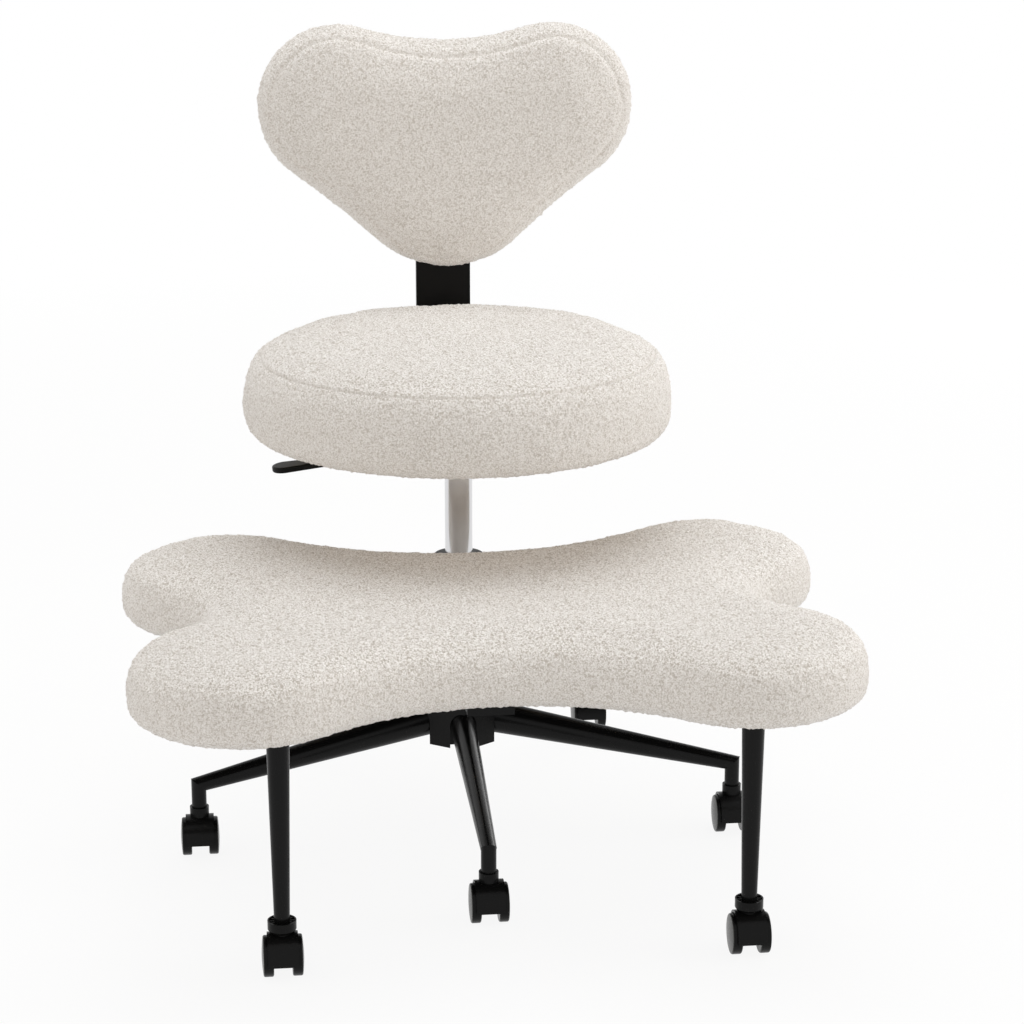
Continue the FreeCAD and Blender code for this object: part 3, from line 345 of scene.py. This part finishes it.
def ease(cushion, times):
    """Lets small wrinkles out of the stuffed cover, then makes its mesh fine enough for yarn."""
    shape = bmesh.new()
    shape.from_mesh(cushion.data)
    for _ in range(times):
        bmesh.ops.smooth_vert(shape, verts=shape.verts, factor=0.5,
                              use_axis_x=True, use_axis_y=True, use_axis_z=True)
    shape.to_mesh(cushion.data)
    shape.free()
    finer = cushion.modifiers.new("finer", "SUBSURF")
    finer.levels = 2
    finer.render_levels = 2
    keep_modified(cushion)


def sew_and_curl(cushion, across, seam, seam_width, seam_depth, seam_roll):
    """Draws the cover in along a flat seam, swells it beside the seam and raises the curls of the yarn."""
    shape = bmesh.new()
    shape.from_mesh(cushion.data)
    reach = 8.0 * seam_width

    def near_seam(vertex):
        return abs(vertex.co.dot(across) - seam) < reach

    for step in (-1.5, 0.0, 1.5):
        beside = [vertex for vertex in shape.verts if near_seam(vertex)]
        beside += [edge for edge in shape.edges if all(near_seam(end) for end in edge.verts)]
        beside += [face for face in shape.faces if all(near_seam(end) for end in face.verts)]
        bmesh.ops.bisect_plane(shape, geom=beside, dist=0.0001, plane_no=across,
                               plane_co=across * (seam + step * seam_width))
    shape.normal_update()
    moves = []
    for vertex in shape.verts:
        away = (vertex.co.dot(across) - seam) / seam_width
        drawn_in = math.exp(-away * away)
        swell = math.exp(-(0.5 * abs(away) - 1.6) ** 2)
        curl = abs(noise.noise(vertex.co / curl_size))
        curl += 0.6 * abs(noise.noise(vertex.co / (0.55 * curl_size)))
        rise = (curl - 0.35) * curl_height * (1.0 - drawn_in)
        moves.append(vertex.normal * (rise + swell * seam_roll - drawn_in * seam_depth))
    for vertex, move in zip(shape.verts, moves):
        vertex.co += move
    shape.to_mesh(cushion.data)
    shape.free()
    cushion.data.polygons.foreach_set("use_smooth", [True] * len(cushion.data.polygons))


def upholster(cushion, node, body):
    cushion.data.materials.clear()
    cushion.data.materials.append(boucle)
    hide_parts(node)
    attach(cushion, body)


boucle = boucle_cloth()
cover_grid = 0.007
curl_size = 0.0046
curl_height = 0.0018
cover_cap = 0.004
staple_rise = 0.014
rest_seam_rise = 0.056
rest_seam_width = 0.0016
rest_seam_depth = 0.0005
rest_seam_roll = 0.0
rest_low = Vector(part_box("footrest_cushion")[0])
rest_seam = rest_low.z + rest_seam_rise
footrest_cushion = foam_shape("footrest_pad", "footrest_cushion", cover_grid)
stuff(footrest_cushion, lambda co: co.z < rest_low.z + staple_rise, cover_cap)
ease(footrest_cushion, 4)
sew_and_curl(footrest_cushion, Vector((0.0, 0.0, 1.0)), rest_seam,
             rest_seam_width, rest_seam_depth, rest_seam_roll)
upholster(footrest_cushion, "footrest_cushion", "footrest")


# Seat mechanism and lever: a pressed steel plate and box with the taper socket, and a flat steel height
# lever with a paddle end. Both are powder coated black and held by plated bolts.
satin_black, satin_black_shader = plain_finish("satin_black_powder_coat", (0.0045, 0.0042, 0.0038), 0.40,
                                               gloss=0.12)
grain(satin_black, satin_black_shader, 900.0, 0.0002, 0.15)
give_finish(satin_black, "seat_mechanism", "height_lever")
give_finish(plated, "seat_bolts")


# Seat and back boards: birch plywood, sanded and left plain, that the covers are stapled to.
birch_plywood = plywood_panel("sanded_birch_plywood", (0.58, 0.44, 0.29), (0.78, 0.64, 0.47))
give_finish(birch_plywood, "seat_board", "back_board")


# Seat cushion: a round foam seat with a crowned top panel, a boxing strip and a sewn seam between them,
# in the same cream boucle, stapled under a plywood board.
seat_seam_rise = 0.080
seat_seam_width = 0.0008
seat_seam_depth = 0.0021
seat_seam_roll = 0.0003
seat_low = Vector(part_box("seat_cushion")[0])
seat_seam = seat_low.z + seat_seam_rise
seat_cushion = foam_shape("seat_pad", "seat_cushion", cover_grid)
stuff(seat_cushion, lambda co: co.z < seat_low.z + staple_rise, cover_cap)
ease(seat_cushion, 4)
sew_and_curl(seat_cushion, Vector((0.0, 0.0, 1.0)), seat_seam,
             seat_seam_width, seat_seam_depth, seat_seam_roll)
upholster(seat_cushion, "seat_cushion", "seat")


# Back bar: a flat steel bar bent once, bolted under the seat and up the back of the backrest board, in
# satin black powder coat.
give_finish(satin_black, "back_bar")


# Back cushion: a heart-shaped foam pad in the same boucle. Its front panel is sewn to the boxing strip a
# little inside the outline, and the cover is stapled to the board behind.
back_seam_place = 0.050
back_seam_width = 0.0018
back_seam_depth = 0.0020
back_seam_roll = 0.0005
back_fullness = 1.022
back_spread = 1.010
back_lean = 0.002
back_low, back_high = [Vector(corner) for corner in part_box("back_cushion")]
back_middle = (back_low.x + back_high.x) / 2.0
back_seam = back_high.y - back_seam_place
back_cushion = foam_shape("back_pad", "back_cushion", cover_grid)
for vertex in back_cushion.data.vertices:
    share = min(max((back_high.y - vertex.co.y - staple_rise) / staple_rise, 0.0), 1.0)
    fuller_z = back_high.z - (back_high.z - vertex.co.z) * back_fullness
    fuller_x = back_middle + (vertex.co.x - back_middle) * back_spread + back_lean
    vertex.co.z += share * (fuller_z - vertex.co.z)
    vertex.co.x += share * (fuller_x - vertex.co.x)
stuff(back_cushion, lambda co: co.y > back_high.y - staple_rise, cover_cap)
ease(back_cushion, 4)
sew_and_curl(back_cushion, Vector((0.0, 1.0, 0.0)), back_seam,
             back_seam_width, back_seam_depth, back_seam_roll)
upholster(back_cushion, "back_cushion", "seat")


# Studio: a pale floor under plain soft light, all white where the camera or a reflection sees past the
# chair, and a long lens a little above the seat.
def sees_white(tree):
    """How far a ray sees the white of the room: the camera, a reflection and a clear piece all do."""
    path = tree.nodes.new("ShaderNodeLightPath")
    direct = tree.nodes.new("ShaderNodeMath")
    direct.operation = "MAXIMUM"
    any_of = tree.nodes.new("ShaderNodeMath")
    any_of.operation = "MAXIMUM"
    tree.links.new(path.outputs["Is Camera Ray"], direct.inputs[0])
    tree.links.new(path.outputs["Is Glossy Ray"], direct.inputs[1])
    tree.links.new(direct.outputs["Value"], any_of.inputs[0])
    tree.links.new(path.outputs["Is Transmission Ray"], any_of.inputs[1])
    return any_of.outputs["Value"]


world = bpy.data.worlds.new("studio")
world.use_nodes = True
scene.world = world
sky = world.node_tree
sky.nodes.clear()
sky_light = sky.nodes.new("ShaderNodeBackground")
sky_light.inputs["Color"].default_value = (1.0, 0.975, 0.945, 1.0)
sky_rise = sky.nodes.new("ShaderNodeSeparateXYZ")
sky_fall = sky.nodes.new("ShaderNodeMapRange")
sky_fall.inputs["From Min"].default_value = 0.3
sky_fall.inputs["From Max"].default_value = 0.8
sky_fall.inputs["To Min"].default_value = 0.97
sky_fall.inputs["To Max"].default_value = 0.4
sky_white = sky.nodes.new("ShaderNodeBackground")
sky_white.inputs["Color"].default_value = (1.0, 1.0, 1.0, 1.0)
sky_place = sky.nodes.new("ShaderNodeTexCoord")
sky_seen = sees_white(sky)
sky_mix = sky.nodes.new("ShaderNodeMixShader")
sky_out = sky.nodes.new("ShaderNodeOutputWorld")
sky.links.new(sky_place.outputs["Generated"], sky_rise.inputs["Vector"])
sky.links.new(sky_rise.outputs["Z"], sky_fall.inputs["Value"])
sky.links.new(sky_fall.outputs["Result"], sky_light.inputs["Strength"])
sky.links.new(sky_seen, sky_mix.inputs["Fac"])
sky.links.new(sky_light.outputs["Background"], sky_mix.inputs[1])
sky.links.new(sky_white.outputs["Background"], sky_mix.inputs[2])
sky.links.new(sky_mix.outputs["Shader"], sky_out.inputs["Surface"])

floor_half = 40.0
floor_shape = bmesh.new()
bmesh.ops.create_grid(floor_shape, x_segments=1, y_segments=1, size=floor_half)
floor_mesh = bpy.data.meshes.new("floor")
floor_shape.to_mesh(floor_mesh)
floor_shape.free()
floor = bpy.data.objects.new("floor", floor_mesh)
scene.collection.objects.link(floor)
floor_white = bpy.data.materials.new("pale_floor")
floor_white.use_nodes = True
ground = floor_white.node_tree
ground.nodes.clear()
ground_lit = ground.nodes.new("ShaderNodeBsdfDiffuse")
ground_lit.inputs["Color"].default_value = (0.92, 0.92, 0.92, 1.0)
ground_white = ground.nodes.new("ShaderNodeEmission")
ground_place = ground.nodes.new("ShaderNodeTexCoord")
ground_reach = ground.nodes.new("ShaderNodeVectorMath")
ground_reach.operation = "LENGTH"
ground_fade = ground.nodes.new("ShaderNodeMapRange")
ground_fade.inputs["From Min"].default_value = 1.2
ground_fade.inputs["From Max"].default_value = 3.0
ground_fade.inputs["To Min"].default_value = 0.90
ground_fade.inputs["To Max"].default_value = 1.0
ground.links.new(ground_place.outputs["Object"], ground_reach.inputs[0])
ground.links.new(ground_reach.outputs["Value"], ground_fade.inputs["Value"])
ground_share = ground.nodes.new("ShaderNodeMath")
ground_share.operation = "MULTIPLY"
ground.links.new(ground_fade.outputs["Result"], ground_share.inputs[1])
ground_mix = ground.nodes.new("ShaderNodeMixShader")
ground_out = ground.nodes.new("ShaderNodeOutputMaterial")
ground_seen = sees_white(ground)
ground.links.new(ground_seen, ground_share.inputs[0])
ground.links.new(ground_share.outputs["Value"], ground_mix.inputs["Fac"])
ground.links.new(ground_lit.outputs["BSDF"], ground_mix.inputs[1])
ground.links.new(ground_white.outputs["Emission"], ground_mix.inputs[2])
ground.links.new(ground_mix.outputs["Shader"], ground_out.inputs["Surface"])
floor.data.materials.append(floor_white)


def soft_lamp(name, place, aim, size, power, colour):
    lamp = bpy.data.lights.new(name, "AREA")
    lamp.color = colour
    lamp.shape = "SQUARE"
    lamp.size = size
    lamp.energy = power
    holder = bpy.data.objects.new(name, lamp)
    holder.location = place
    holder.visible_camera = False
    holder.rotation_euler = (Vector(aim) - Vector(place)).to_track_quat("-Z", "Y").to_euler()
    scene.collection.objects.link(holder)


soft_lamp("overhead", (0.2, 0.2, 3.2), (0.0, 0.0, 0.4), 2.4, 41.0, (0.96, 0.98, 1.0))
soft_lamp("right_window", (2.8, -0.5, 1.1), (0.0, 0.0, 0.4), 1.6, 20.0, (1.0, 1.0, 1.0))
soft_lamp("rear_window", (1.6, 2.7, 0.65), (0.0, 0.0, 0.3), 1.1, 9.0, (1.0, 1.0, 1.0))
soft_lamp("left_window", (-2.8, -0.5, 1.1), (0.0, 0.0, 0.4), 1.6, 6.0, (1.0, 1.0, 1.0))

picture_pixels = 1024
lens_pixels = 2800.0
camera_data = bpy.data.cameras.new("photo_view")
camera_data.sensor_width = 36.0
camera_data.lens = camera_data.sensor_width * lens_pixels / picture_pixels
camera = bpy.data.objects.new("photo_view", camera_data)
camera.location = (-0.2562, -2.7285, 1.1015)
camera.rotation_euler = (math.radians(90.0 - 15.87), 0.0, math.radians(-6.5))
scene.collection.objects.link(camera)
scene.camera = camera
